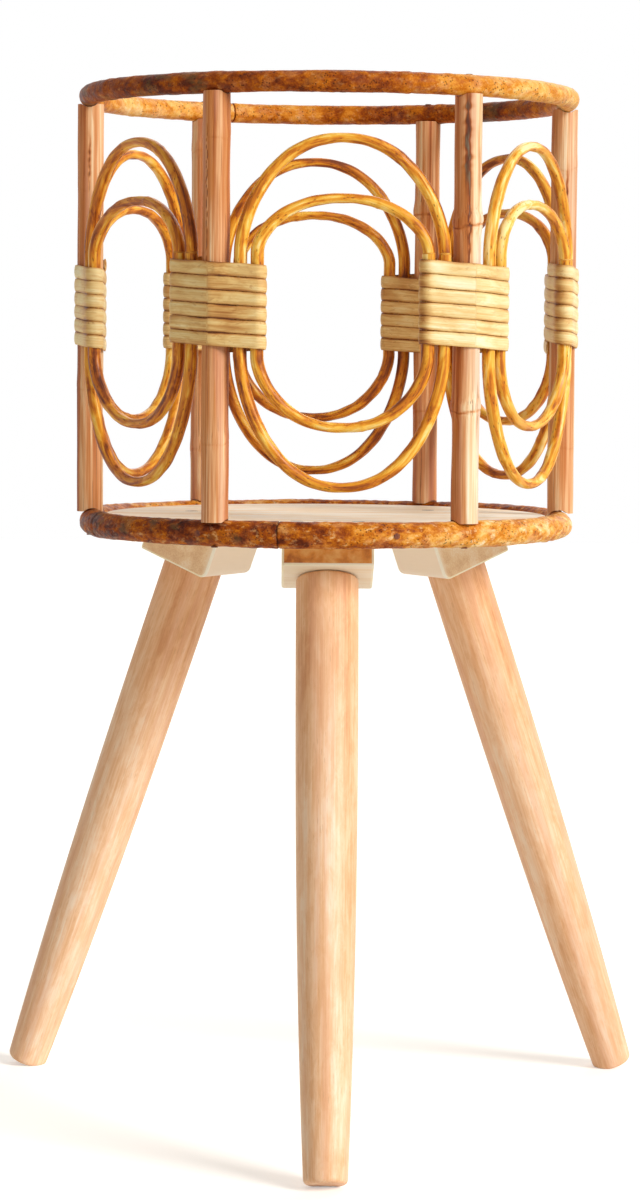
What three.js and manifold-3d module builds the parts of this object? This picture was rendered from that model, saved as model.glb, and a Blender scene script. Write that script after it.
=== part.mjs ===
// Cane plant stand: a round cage of bent rattan on three splayed, tapered wooden legs.
// Millimetres and degrees. +Z is up, the floor is at Z = 0 and the front leg points towards -Y.

import * as THREE from "three";
import { mergeVertices } from "three/addons/utils/BufferGeometryUtils.js";
import Module from "manifold-3d";

// ---- Base board, which the pot stands on ----
const BOARD_UNDERSIDE = 354; // height above the floor
const BOARD_THICKNESS = 9;
const BOARD_SINK = 3; // the board's top lies this far under the base ring's top
const BOARD_CLEARANCE = 0.3; // board's edge to the base ring

// ---- Rings, bent from round poles ----
const BASE_RING_RADIUS = 142; // to the pole's centre line
const BASE_RING_POLE = 16.2; // pole diameter
const TOP_RING_WIDER = 2.5; // the top ring's radius is this much more than the base ring's
const TOP_RING_POLE = 12.8;
const RING_SPACING = 255.8; // between the two centre lines

// ---- Upright posts ----
const BAYS = 6; // posts, and bays between them
const CAGE_TURN = 3; // the cage sits this many degrees round from the legs
const POSTS_OUTSIDE = 1.5; // post centres, outside the base ring's centre line
const POST_DIAMETER = 16;
const POST_SEAT_TOP = 1.6; // depth of the seat cut for the top ring
const POST_SEAT_BASE = 1.8; // depth of the seat cut for the base ring
const POST_CLEARANCE = 0.3; // seat cut to its ring

// ---- Cane loops, a large and a small one in each bay ----
const LARGE_LOOP_HEIGHT = 198; // along the cane's centre line
const SMALL_LOOP_HEIGHT = 130;
const POST_TO_LARGE_LOOP = 3.9; // gap between post and cane inside the binding
const LARGE_TO_SMALL_LOOP = 1.6; // gap between the two canes there
const SMALL_LOOP_BEHIND_POST = 2.5; // the small loop lies this far inside the post circle there
const LOOP_CROWN_POWER = 2.2; // how flat a loop is at its top and bottom: 2 is an ellipse
const LOOP_SIDE_POWER = 1.7; // how late its sides lean in past a binding: 2 is an ellipse
const LOOPS_STAND_OUT = 9.8; // middle of a bay, outside the straight line from post to post
const LOOPS_BELOW_MIDDLE = 2; // loop centres, below the middle between the rings
const CANE_AT_POSTS = 7.8; // cane diameter at a loop's sides
const CANE_AT_CROWN = 5.8; // and where it is bent over at top and bottom
const CANE_STRAIGHT_PAST = 2; // the canes run straight this far past a binding's edges

// ---- Cane bindings round each post and the loops beside it ----
const BINDING_TURNS = 6;
const BINDING_PITCH = 8;
const STRIP_WIDTH = 7.3;
const STRIP_THICKNESS = 1.3;
const STRIP_CLEARANCE = 0.45; // strip to post and canes
const BINDINGS_ABOVE_MIDDLE = 3; // binding centres, above the middle between the rings

// ---- Legs and the wedge blocks that carry them ----
const LEG_TURNS = [0, 120, 240]; // round from the front
const LEG_NAMES = ["front", "right", "left"];
const LEG_LEAN = 21;
const LEG_SEAT_INSET = 40.1; // from the board's edge in to where a leg's axis meets its block
const LEG_TOP_DIAMETER = 36.6;
const LEG_FOOT_DIAMETER = 25.8;
const LEG_TAPER_POWER = 2.6; // how late the leg thins: 1 is a plain cone
const LEG_TOP_EASE = 2.4; // rounding of the leg's top edge
const LEG_FOOT_EASE = 3; // rounding of its foot
const FOOT_FLAT_DEPTH = 1.2; // sanded off the foot's low edge, so that it stands flat
const BLOCK_WIDTH = 53.4;
const BLOCK_LENGTH = 50; // along its sloping face
const BLOCK_DEEP_END = 32.6; // below the board at the end nearest the middle
const BLOCK_CORNER = 5; // rounding of the deep end's lower corner
const SEAT_CLEARANCE = 0.3; // board to block and block to leg

// ---- Hardware ----
const HARDWARE_CLEARANCE = 0.3; // round every nail, screw, bolt and insert
const RING_NAIL = { head: 3.8, rim: 0.8, neck: 0.8, shank: 2, length: 42, point: 3 };
const BOARD_NAIL = { head: 3.8, rim: 0.8, neck: 0.8, shank: 2, length: 36, point: 3 };
const BLOCK_SCREW = { head: 8, rim: 0.4, neck: 3.2, shank: 3.8, length: 25, point: 5 };
const BOARD_NAIL_TURNS = [-33, 12, 147]; // round the cage from its front
const SCREW_ASIDE = 18; // of the block's middle
const SCREW_INSET = 8.5; // nearer the stand's axis than the leg's seat
const BOLT_DIAMETER = 8;
const BOLT_IN_INSERT = 11;
const BOLT_IN_LEG = 30;
const BOLT_POINT = 5;
const INSERT_DIAMETER = 12;
const INSERT_LENGTH = 13;

// ---- Faces ----
const RING_STEPS = 48; // a multiple of the bays, so that each post meets the same facets
const RING_SIDES = 8;
const SEAT_SIDES = 16; // round the seats cut in the posts
const POST_SIDES = 12;
const LARGE_LOOP_STEPS = 32;
const SMALL_LOOP_STEPS = 28;
const CANE_SIDES = 6;
const ARCH_POINTS = 90; // worked out on each arch of a loop, before its steps are spaced evenly
const SIDE_POINTS = 12; // and on each straight side
const STRIP_STEPS = 12; // in each turn of a binding
const LEG_SIDES = 18;
const LEG_STATIONS = [0.86, 0.7, 0.5]; // profile points, as shares of the length from the top
const CORNER_STEPS = 5; // round the block's corner
const BOARD_SIDES = 48;
const NAIL_SIDES = 6;
const BOLT_SIDES = 10;
const CUTTER_REACH = 20; // how far a hole's cutter runs out past the surface

// ---- Places worked out from the sizes ----
const BOARD_TOP = BOARD_UNDERSIDE + BOARD_THICKNESS;
const BASE_RING_HEIGHT = BOARD_TOP + BOARD_SINK - BASE_RING_POLE / 2;
const TOP_RING_HEIGHT = BASE_RING_HEIGHT + RING_SPACING;
const CAGE_MIDDLE = (BASE_RING_HEIGHT + TOP_RING_HEIGHT) / 2;
const BOARD_RADIUS = BASE_RING_RADIUS - BASE_RING_POLE / 2 - BOARD_CLEARANCE;
const TOP_RING_RADIUS = BASE_RING_RADIUS + TOP_RING_WIDER;
const POST_CIRCLE_RADIUS = BASE_RING_RADIUS + POSTS_OUTSIDE;
const LARGE_LOOP_FROM_POST = (POST_DIAMETER + CANE_AT_POSTS) / 2 + POST_TO_LARGE_LOOP;
const SMALL_LOOP_FROM_POST = LARGE_LOOP_FROM_POST + CANE_AT_POSTS + LARGE_TO_SMALL_LOOP;
const POST_BOTTOM = BASE_RING_HEIGHT + BASE_RING_POLE / 2 - POST_SEAT_BASE;
const POST_TOP = TOP_RING_HEIGHT - TOP_RING_POLE / 2 + POST_SEAT_TOP;
const BAY_ANGLE = 360 / BAYS;
const LEAN = THREE.MathUtils.degToRad(LEG_LEAN);
const LEG_SEAT_RADIUS = BOARD_RADIUS - LEG_SEAT_INSET;
const SCREW_RADIUS = LEG_SEAT_RADIUS - SCREW_INSET;
const LEG_SEAT_HEIGHT = BOARD_UNDERSIDE - BLOCK_DEEP_END + (BLOCK_LENGTH / 2) * Math.sin(LEAN);

// ---- Finishes ----
const finish = (color, roughness, metalness = 0) =>
  new THREE.MeshStandardMaterial({ color, roughness, metalness });
const BARK = finish(0x9c5a2c, 0.55);
const POLE = finish(0xc98a62, 0.6);
const CANE = finish(0xd08f35, 0.45);
const STRIP = finish(0xe3c68a, 0.5);
const BEECH = finish(0xe6bd8f, 0.6);
const BLOCK = finish(0xeadbb4, 0.65);
const BOARD = finish(0xd8c9ad, 0.7);
const STEEL = finish(0x9a9a98, 0.4, 1);
const BRASS = finish(0xb08d4a, 0.4, 1);

const wasm = await Module();
wasm.setup();

// A closed geometry, moved by a matrix, as a solid that can be cut.
function solidOf(geometry, matrix = new THREE.Matrix4()) {
  const bare = geometry.clone().applyMatrix4(matrix);
  bare.deleteAttribute("normal");
  bare.deleteAttribute("uv");
  const merged = mergeVertices(bare, 1e-4);
  return new wasm.Manifold(
    new wasm.Mesh({
      numProp: 3,
      vertProperties: new Float32Array(merged.attributes.position.array),
      triVerts: new Uint32Array(merged.index.array),
    }),
  );
}

// What is left of a geometry once each cutter solid is taken out of it.
function cut(geometry, cutters) {
  const left = cutters.reduce((solid, cutter) => solid.subtract(cutter), solidOf(geometry));
  const mesh = left.getMesh();
  const result = new THREE.BufferGeometry();
  result.setAttribute("position", new THREE.BufferAttribute(mesh.vertProperties, 3));
  result.setIndex(new THREE.BufferAttribute(mesh.triVerts, 1));
  result.computeVertexNormals();
  return result;
}

function named(name, geometry, material) {
  const mesh = new THREE.Mesh(geometry, material);
  mesh.name = name;
  return mesh;
}

// A place on the stand: turned from the front, out from the axis, up, then leaned outwards.
function spot(turn, out = 0, up = 0, lean = 0) {
  const place = new THREE.Group();
  const angle = THREE.MathUtils.degToRad(turn);
  place.rotation.set(-THREE.MathUtils.degToRad(lean), 0, angle, "ZYX");
  place.position.set(out * Math.sin(angle), -out * Math.cos(angle), up);
  place.updateMatrix();
  return place;
}

// A profile of [radius, height] points, from the bottom up, turned about the Z axis.
function turned(profile, sides) {
  const points = profile.map(([radius, height]) => new THREE.Vector2(radius, height));
  return new THREE.LatheGeometry(points, sides).rotateX(Math.PI / 2);
}

// A nail or screw on the Z axis, with the top of its head at Z = 0. Grown, it is the hole it sits in.
function fastener({ head, rim, neck, shank, length, point }, grow = 0, sides = NAIL_SIDES) {
  const top = grow ? CUTTER_REACH : 0;
  return turned(
    [
      [0, -length - grow],
      [shank / 2 + grow, point - length - grow],
      [shank / 2 + grow, -neck - grow],
      [head / 2 + grow, -rim - grow],
      [head / 2 + grow, top],
      [0, top],
    ],
    sides,
  );
}

const holeFor = (kind, place, sides) =>
  solidOf(fastener(kind, HARDWARE_CLEARANCE, sides), place.matrix);

// Rings of points joined into one skin, closed on itself or capped at both ends.
function skin(rings, closed) {
  const sides = rings[0].length;
  const index = [];
  const last = closed ? rings.length : rings.length - 1;
  for (let i = 0; i < last; i++) {
    const a = i * sides;
    const b = ((i + 1) % rings.length) * sides;
    for (let j = 0; j < sides; j++) {
      const k = (j + 1) % sides;
      index.push(a + j, a + k, b + k, a + j, b + k, b + j);
    }
  }
  if (!closed) {
    const end = (rings.length - 1) * sides;
    for (let j = 1; j < sides - 1; j++) {
      index.push(0, j + 1, j, end, end + j, end + j + 1);
    }
  }
  const geometry = new THREE.BufferGeometry().setFromPoints(rings.flat());
  geometry.setIndex(index);
  geometry.computeVertexNormals();
  return geometry;
}

// ---- The cage's plan, in a post's own frame: X along the ring, Y in towards the axis ----

// A small loop's cane lies behind the post circle, and a large loop's touches the binding, which
// runs straight from the post to the small loop's cane.
function largeLoopBehindPost() {
  const post = POST_DIAMETER / 2;
  const cane = CANE_AT_POSTS / 2;
  const reach = Math.hypot(SMALL_LOOP_FROM_POST, SMALL_LOOP_BEHIND_POST);
  const drop = Math.asin((post - cane) / reach);
  const fall = drop + Math.atan2(SMALL_LOOP_BEHIND_POST, SMALL_LOOP_FROM_POST);
  return (LARGE_LOOP_FROM_POST * Math.sin(fall) - (post - cane)) / Math.cos(fall);
}

const LARGE_LOOP = {
  steps: LARGE_LOOP_STEPS,
  height: LARGE_LOOP_HEIGHT,
  aside: LARGE_LOOP_FROM_POST,
  behind: largeLoopBehindPost(),
};
const SMALL_LOOP = {
  steps: SMALL_LOOP_STEPS,
  height: SMALL_LOOP_HEIGHT,
  aside: SMALL_LOOP_FROM_POST,
  behind: SMALL_LOOP_BEHIND_POST,
};

// ---- Rings and board ----

function ring(radius, pole, height, holes) {
  const torus = new THREE.TorusGeometry(radius, pole / 2, RING_SIDES, RING_STEPS);
  return cut(torus.translate(0, 0, height), holes);
}

function baseBoard(nailSpots, screwSpots) {
  const disc = new THREE.CylinderGeometry(BOARD_RADIUS, BOARD_RADIUS, BOARD_THICKNESS, BOARD_SIDES);
  disc.rotateX(Math.PI / 2).translate(0, 0, BOARD_UNDERSIDE + BOARD_THICKNESS / 2);
  const nailHoles = nailSpots.map((place) => holeFor(BOARD_NAIL, place, NAIL_SIDES));
  const screwHoles = screwSpots.map((place) => holeFor(BLOCK_SCREW, place, BOLT_SIDES));
  return cut(disc, [...nailHoles, ...screwHoles]);
}

// ---- Posts ----

// A post in its own frame, its ends seated on the rings and drilled for their nails.
function post() {
  const length = POST_TOP - POST_BOTTOM;
  const pole = new THREE.CylinderGeometry(POST_DIAMETER / 2, POST_DIAMETER / 2, length, POST_SIDES);
  pole.rotateX(Math.PI / 2).translate(0, 0, POST_BOTTOM + length / 2);
  const seats = [
    [BASE_RING_RADIUS, BASE_RING_POLE, BASE_RING_HEIGHT],
    [TOP_RING_RADIUS, TOP_RING_POLE, TOP_RING_HEIGHT],
  ].map(([radius, thickness, height]) => {
    const tube = thickness / 2 + POST_CLEARANCE;
    const torus = new THREE.TorusGeometry(radius, tube, SEAT_SIDES, RING_STEPS);
    return solidOf(torus.translate(0, POST_CIRCLE_RADIUS, height));
  });
  const nails = [topNailSpot(0, 0), baseNailSpot(0, 0)];
  return cut(pole, [...seats, ...nails.map((place) => holeFor(RING_NAIL, place))]);
}

// Nails stand on the post's axis: one down through the top ring, one up through the base ring.
const topNailSpot = (turn, out) => spot(turn, out, TOP_RING_HEIGHT + TOP_RING_POLE / 2);

function baseNailSpot(turn, out) {
  const place = spot(turn, out, BASE_RING_HEIGHT - BASE_RING_POLE / 2);
  place.rotation.x = Math.PI;
  place.updateMatrix();
  return place;
}

// A nail lies level, from the outside of the base ring in towards the board.
function boardNailSpot(turn) {
  const place = spot(turn, BASE_RING_RADIUS + BASE_RING_POLE / 2, BASE_RING_HEIGHT);
  place.rotation.x = Math.PI / 2;
  place.updateMatrix();
  return place;
}

// ---- Loops ----

// A loop's centre line in its bay's frame: X along the bay, -Y out. An arch above and an arch below
// are joined by two straight sides, held inside the bindings. Each arch follows
// |x / a|^p + |z / b|^q = 1, and a loop's middle stands out from the line between the posts.
function loopLine({ steps, height, aside, behind }) {
  const half = THREE.MathUtils.degToRad(BAY_ANGLE / 2);
  const out = POST_CIRCLE_RADIUS - behind;
  const halfWidth = out * Math.sin(half) - aside * Math.cos(half);
  const sideOut = out * Math.cos(half) + aside * Math.sin(half);
  const middleOut = POST_CIRCLE_RADIUS * Math.cos(half) + LOOPS_STAND_OUT;
  const bindingCentre = CAGE_MIDDLE + BINDINGS_ABOVE_MIDDLE;
  const straight = (BINDING_TURNS * BINDING_PITCH + STRIP_WIDTH) / 2 + CANE_STRAIGHT_PAST;
  const outline = [];
  const add = (share, z) => {
    const y = -THREE.MathUtils.lerp(middleOut, sideOut, share ** 2);
    outline.push(new THREE.Vector3(halfWidth * share, y, z));
  };
  for (const side of [1, -1]) {
    const start = bindingCentre + side * straight;
    const reach = CAGE_MIDDLE - LOOPS_BELOW_MIDDLE + (side * height) / 2 - start;
    for (let i = 0; i <= ARCH_POINTS; i++) {
      const angle = (i / ARCH_POINTS) * Math.PI;
      const across = Math.abs(Math.cos(angle)) ** (2 / LOOP_CROWN_POWER);
      const rise = Math.sin(angle) ** (2 / LOOP_SIDE_POWER);
      add(side * Math.sign(Math.cos(angle)) * across, start + reach * rise);
    }
    for (let i = 1; i < SIDE_POINTS; i++) {
      add(-side, start - (side * 2 * straight * i) / SIDE_POINTS);
    }
  }
  return new THREE.CatmullRomCurve3(outline, true).getSpacedPoints(steps).slice(0, steps);
}

// A round cane along the loop, thinner where it is bent over at the top and bottom.
function loop(size) {
  const line = loopLine(size);
  const outwards = new THREE.Vector3(0, -1, 0);
  const rings = line.map((point, i) => {
    const before = line[(i + line.length - 1) % line.length];
    const along = line[(i + 1) % line.length].clone().sub(before).normalize();
    const side = new THREE.Vector3().crossVectors(outwards, along).normalize();
    const out = new THREE.Vector3().crossVectors(along, side);
    const steep = Math.abs(along.z);
    const radius = THREE.MathUtils.lerp(CANE_AT_CROWN, CANE_AT_POSTS, steep) / 2;
    return Array.from({ length: CANE_SIDES }, (_, j) => {
      const angle = ((j + 0.5) / CANE_SIDES) * 2 * Math.PI;
      return point
        .clone()
        .addScaledVector(side, radius * Math.cos(angle))
        .addScaledVector(out, radius * Math.sin(angle));
    });
  });
  return skin(rings, true);
}

// ---- Bindings ----

// Everything a binding goes round, as circles in a post's own frame.
function bundle() {
  const canes = [LARGE_LOOP, SMALL_LOOP].flatMap(({ aside, behind }) => [
    { x: -aside, y: behind, radius: CANE_AT_POSTS / 2 },
    { x: aside, y: behind, radius: CANE_AT_POSTS / 2 },
  ]);
  return [{ x: 0, y: 0, radius: POST_DIAMETER / 2 }, ...canes];
}

// One unbroken flat strip, wound tight round the bundle and down it at a steady rate. In each
// direction it lies on the circle that reaches furthest, and it runs straight from one to the next.
function bindingRings() {
  const circles = bundle();
  const offset = STRIP_CLEARANCE + STRIP_THICKNESS / 2;
  const turn = Array.from({ length: STRIP_STEPS }, (_, i) => {
    const angle = Math.PI / 2 + (i / STRIP_STEPS) * 2 * Math.PI;
    const normal = new THREE.Vector2(Math.cos(angle), Math.sin(angle));
    const reach = (c) => c.x * normal.x + c.y * normal.y + c.radius;
    const circle = circles.reduce((best, c) => (reach(c) > reach(best) ? c : best));
    return {
      normal,
      x: circle.x + (circle.radius + offset) * normal.x,
      y: circle.y + (circle.radius + offset) * normal.y,
    };
  });
  const next = (i) => turn[(i + 1) % STRIP_STEPS];
  const runs = turn.map((place, i) => Math.hypot(next(i).x - place.x, next(i).y - place.y));
  const girth = runs.reduce((sum, run) => sum + run, 0);
  const top = CAGE_MIDDLE + BINDINGS_ABOVE_MIDDLE + (BINDING_TURNS * BINDING_PITCH) / 2;
  const rings = [];
  let wound = 0;
  for (let i = 0; i <= BINDING_TURNS * STRIP_STEPS; i++) {
    const { x, y, normal } = turn[i % STRIP_STEPS];
    const height = top - (wound / girth) * BINDING_PITCH;
    const corner = (out, up) =>
      new THREE.Vector3(
        x + (out * normal.x * STRIP_THICKNESS) / 2,
        y + (out * normal.y * STRIP_THICKNESS) / 2,
        height + (up * STRIP_WIDTH) / 2,
      );
    rings.push([corner(-1, -1), corner(-1, 1), corner(1, 1), corner(1, -1)]);
    wound += runs[i % STRIP_STEPS];
  }
  return rings;
}

// The least distance between points of the strip that are at least three quarters of a turn apart.
function leastGap(rings) {
  let least = Infinity;
  const apart = Math.round(STRIP_STEPS * 0.75);
  rings.forEach((ring, i) => {
    for (const other of rings.slice(i + apart)) {
      for (const a of ring) {
        for (const b of other) least = Math.min(least, a.distanceTo(b));
      }
    }
  });
  return least;
}

// ---- Legs and blocks, in a leg's own frame: Z up the leg's axis, Y in and down the slope ----

function block(screwHoles) {
  const rise = BOARD_UNDERSIDE - SEAT_CLEARANCE - LEG_SEAT_HEIGHT;
  const topAt = (y) => (rise + y * Math.sin(LEAN)) / Math.cos(LEAN);
  const end = BLOCK_LENGTH / 2;
  const side = new THREE.Shape();
  side.moveTo(-end, 0);
  side.lineTo(end - BLOCK_CORNER, 0);
  side.absarc(end - BLOCK_CORNER, BLOCK_CORNER, BLOCK_CORNER, -Math.PI / 2, 0, false);
  side.lineTo(end, topAt(end));
  side.lineTo(-end, topAt(-end));
  side.closePath();
  const body = new THREE.ExtrudeGeometry(side, {
    depth: BLOCK_WIDTH,
    bevelEnabled: false,
    curveSegments: CORNER_STEPS,
  });
  const across = new THREE.Vector3(1, 0, 0);
  const inwards = new THREE.Vector3(0, 1, 0);
  const up = new THREE.Vector3(0, 0, 1);
  body.translate(0, 0, -BLOCK_WIDTH / 2);
  body.applyMatrix4(new THREE.Matrix4().makeBasis(inwards, up, across));
  return cut(body, [insertHole(), ...screwHoles]);
}

function leg(place, boltHole) {
  const topRadius = LEG_TOP_DIAMETER / 2;
  const footRadius = LEG_FOOT_DIAMETER / 2;
  const cornerDrop = LEG_FOOT_EASE + (footRadius - LEG_FOOT_EASE) * Math.sin(LEAN);
  const length =
    (LEG_SEAT_HEIGHT + FOOT_FLAT_DEPTH - cornerDrop) / Math.cos(LEAN) + LEG_FOOT_EASE;
  const radiusAt = (share) =>
    topRadius - (topRadius - footRadius) * share ** LEG_TAPER_POWER;
  const profile = [[0, -length]];
  for (const share of [0, 0.5, 1]) {
    const angle = (share * Math.PI) / 2;
    profile.push([
      footRadius - LEG_FOOT_EASE * (1 - Math.sin(angle)),
      -length + LEG_FOOT_EASE * (1 - Math.cos(angle)),
    ]);
  }
  for (const share of LEG_STATIONS) profile.push([radiusAt(share), -length * share]);
  profile.push([topRadius, -SEAT_CLEARANCE - LEG_TOP_EASE]);
  profile.push([topRadius - LEG_TOP_EASE, -SEAT_CLEARANCE]);
  profile.push([0, -SEAT_CLEARANCE]);
  const floor = new THREE.BoxGeometry(length, length, length);
  floor.translate(place.position.x, place.position.y, -length / 2);
  const underFloor = solidOf(floor, place.matrix.clone().invert());
  return cut(turned(profile, LEG_SIDES), [underFloor, boltHole]);
}

function hangerBolt(grow = 0) {
  const radius = BOLT_DIAMETER / 2 + grow;
  return turned(
    [
      [0, -BOLT_IN_LEG - grow],
      [radius, BOLT_POINT - BOLT_IN_LEG - grow],
      [radius, BOLT_IN_INSERT + grow],
      [0, BOLT_IN_INSERT + grow],
    ],
    BOLT_SIDES,
  );
}

function legInsert() {
  const bore = BOLT_DIAMETER / 2 + HARDWARE_CLEARANCE;
  const outer = INSERT_DIAMETER / 2;
  const profile = [[bore, 0], [outer, 0], [outer, INSERT_LENGTH], [bore, INSERT_LENGTH], [bore, 0]];
  return turned(profile, BOLT_SIDES);
}

// The hole that the insert sits in, from below the block up into it.
function insertHole() {
  const radius = INSERT_DIAMETER / 2 + HARDWARE_CLEARANCE;
  const top = INSERT_LENGTH + HARDWARE_CLEARANCE;
  const profile = [[0, -CUTTER_REACH], [radius, -CUTTER_REACH], [radius, top], [0, top]];
  return solidOf(turned(profile, BOLT_SIDES));
}

// ---- Assembly ----

const stand = new THREE.Group();
const cage = new THREE.Group();
cage.rotation.z = THREE.MathUtils.degToRad(CAGE_TURN);
stand.add(cage);

const postTurns = Array.from({ length: BAYS }, (_, i) => (i - 0.5) * BAY_ANGLE);
const bayTurns = Array.from({ length: BAYS }, (_, i) => i * BAY_ANGLE);
const topNailSpots = postTurns.map((turn) => topNailSpot(turn, POST_CIRCLE_RADIUS));
const baseNailSpots = postTurns.map((turn) => baseNailSpot(turn, POST_CIRCLE_RADIUS));
const boardNailSpots = BOARD_NAIL_TURNS.map(boardNailSpot);

const topHoles = topNailSpots.map((place) => holeFor(RING_NAIL, place));
const baseHoles = baseNailSpots.map((place) => holeFor(RING_NAIL, place));
const edgeHoles = boardNailSpots.map((place) => holeFor(BOARD_NAIL, place));
cage.add(
  named("top_ring", ring(TOP_RING_RADIUS, TOP_RING_POLE, TOP_RING_HEIGHT, topHoles), BARK),
  named(
    "base_ring",
    ring(BASE_RING_RADIUS, BASE_RING_POLE, BASE_RING_HEIGHT, [...baseHoles, ...edgeHoles]),
    BARK,
  ),
);

const postShape = post();
const bindingShape = skin(bindingRings(), false);
postTurns.forEach((turn, i) => {
  const place = spot(turn, POST_CIRCLE_RADIUS);
  place.add(named(`post_${i + 1}`, postShape, POLE));
  place.add(named(`binding_${i + 1}`, bindingShape, STRIP));
  cage.add(place);
});

const largeLoopShape = loop(LARGE_LOOP);
const smallLoopShape = loop(SMALL_LOOP);
bayTurns.forEach((turn, i) => {
  const place = spot(turn);
  place.add(named(`large_loop_${i + 1}`, largeLoopShape, CANE));
  place.add(named(`small_loop_${i + 1}`, smallLoopShape, CANE));
  cage.add(place);
});

const ringNailShape = fastener(RING_NAIL);
const boardNailShape = fastener(BOARD_NAIL);
const nailSets = [
  ["top_nail", topNailSpots, ringNailShape],
  ["base_nail", baseNailSpots, ringNailShape],
  ["board_nail", boardNailSpots, boardNailShape],
];
for (const [name, places, shape] of nailSets) {
  places.forEach((place, i) => {
    place.add(named(`${name}_${i + 1}`, shape, STEEL));
    cage.add(place);
  });
}

// The two screws of a block, in the stand's frame.
function screwSpots(turn) {
  const aside = THREE.MathUtils.radToDeg(Math.atan2(SCREW_ASIDE, SCREW_RADIUS));
  const out = Math.hypot(SCREW_ASIDE, SCREW_RADIUS);
  return [-aside, aside].map((swing) => spot(turn + swing, out, BOARD_TOP));
}

const allScrewSpots = LEG_TURNS.flatMap(screwSpots);
const screwShape = fastener(BLOCK_SCREW, 0, BOLT_SIDES);
allScrewSpots.forEach((place, i) => {
  place.add(named(`block_screw_${i + 1}`, screwShape, STEEL));
  stand.add(place);
});

const turnedNailSpots = boardNailSpots.map((place) => ({
  matrix: new THREE.Matrix4()
    .makeRotationZ(THREE.MathUtils.degToRad(CAGE_TURN))
    .multiply(place.matrix),
}));
stand.add(named("base_board", baseBoard(turnedNailSpots, allScrewSpots), BOARD));

LEG_TURNS.forEach((turn, i) => {
  const place = spot(turn, LEG_SEAT_RADIUS, LEG_SEAT_HEIGHT, LEG_LEAN);
  const toPlace = place.matrix.clone().invert();
  const screwHoles = screwSpots(turn).map((screw) =>
    holeFor(BLOCK_SCREW, { matrix: toPlace.clone().multiply(screw.matrix) }, BOLT_SIDES),
  );
  const boltHole = solidOf(hangerBolt(HARDWARE_CLEARANCE));
  place.add(
    named(`leg_block_${LEG_NAMES[i]}`, block(screwHoles), BLOCK),
    named(`leg_${LEG_NAMES[i]}`, leg(place, boltHole), BEECH),
    named(`hanger_bolt_${LEG_NAMES[i]}`, hangerBolt(), STEEL),
    named(`leg_insert_${LEG_NAMES[i]}`, legInsert(), BRASS),
  );
  stand.add(place);
});

console.log("least gap in a binding:", leastGap(bindingRings()).toFixed(2), "mm");

// The origin goes on the floor, under the middle of the whole stand's outline.
const outline = new THREE.Box3().setFromObject(stand, true);
const middle = outline.getCenter(new THREE.Vector3());
stand.position.set(-middle.x, -middle.y, 0);
console.log("cage axis at x", (-middle.x).toFixed(2), "y", (-middle.y).toFixed(2), "mm");

export default stand;
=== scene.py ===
"""Rattan plant stand: a round cage of bent poles, looped canes and wound strips on three splayed legs.

Metres, +Z up, the floor at Z = 0 and the front leg towards -Y. A turn is an angle round the cage's
axis in degrees: 0 is the front, 90 is the right side.
"""

import math

import bpy
import numpy as np
from mathutils import Matrix, Vector


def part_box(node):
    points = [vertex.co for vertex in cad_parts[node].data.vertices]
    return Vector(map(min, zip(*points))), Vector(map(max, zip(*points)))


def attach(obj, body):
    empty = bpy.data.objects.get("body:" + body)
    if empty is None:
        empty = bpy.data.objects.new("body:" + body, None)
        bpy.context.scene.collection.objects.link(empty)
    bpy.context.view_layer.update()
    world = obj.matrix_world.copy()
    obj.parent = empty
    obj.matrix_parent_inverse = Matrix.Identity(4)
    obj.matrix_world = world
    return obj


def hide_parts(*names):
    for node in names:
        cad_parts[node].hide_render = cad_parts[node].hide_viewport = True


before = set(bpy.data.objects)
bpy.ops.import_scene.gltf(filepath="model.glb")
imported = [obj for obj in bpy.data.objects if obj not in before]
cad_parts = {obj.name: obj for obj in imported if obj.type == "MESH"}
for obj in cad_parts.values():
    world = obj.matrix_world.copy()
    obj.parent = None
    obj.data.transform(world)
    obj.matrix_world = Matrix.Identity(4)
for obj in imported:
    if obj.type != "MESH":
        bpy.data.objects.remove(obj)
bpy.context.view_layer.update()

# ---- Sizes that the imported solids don't give, in metres and degrees ----
# The cage: each bay lies between two posts.
CAGE_TURN = 3
BAYS = 6
BAY = 360 / BAYS
POST_TURNS = [CAGE_TURN + BAY * (i - 0.5) for i in range(BAYS)]
BAY_TURNS = [CAGE_TURN + BAY * i for i in range(BAYS)]

# The loops: how high they are, and how far aside of and behind a post's centre line their canes run.
LARGE_LOOP = {"height": 0.198, "aside": 0.0158, "behind": 0}
SMALL_LOOP = {"height": 0.130, "aside": 0.0252, "behind": 0.0025}
LOOP_CROWN_POWER = 2.2
LOOP_SIDE_POWER = 1.7
LOOPS_STAND_OUT = 0.0098
LOOPS_BELOW_MIDDLE = 0.002
CANE_STRAIGHT_PAST = 0.002
CANE_AT_POSTS = 0.0078
CANE_AT_CROWN = 0.0058
CANE_INSET = 0.00008
CANE_UNEVEN = 0.00012
CANE_NODE_SWELL = 0.00022

# The bindings, wound from one strip each. A strip is laid a little wider than its solid, so that its
# turns touch.
BINDING_TURNS = 6
BINDING_PITCH = 0.008
STRIP_WIDTH = 0.0073
STRIP_AS_LAID = 0.0077
STRIP_THICKNESS = 0.0013
STRIP_CLEARANCE = 0.00045
STRIP_DOME_POWER = 2.6
STRIP_HEIGHT_DRIFT = 0.0001
STRIP_WIDTH_DRIFT = 0.012
TUCKED_END_LUMP = 0.0007
BINDINGS_ABOVE_MIDDLE = 0.003

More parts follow.
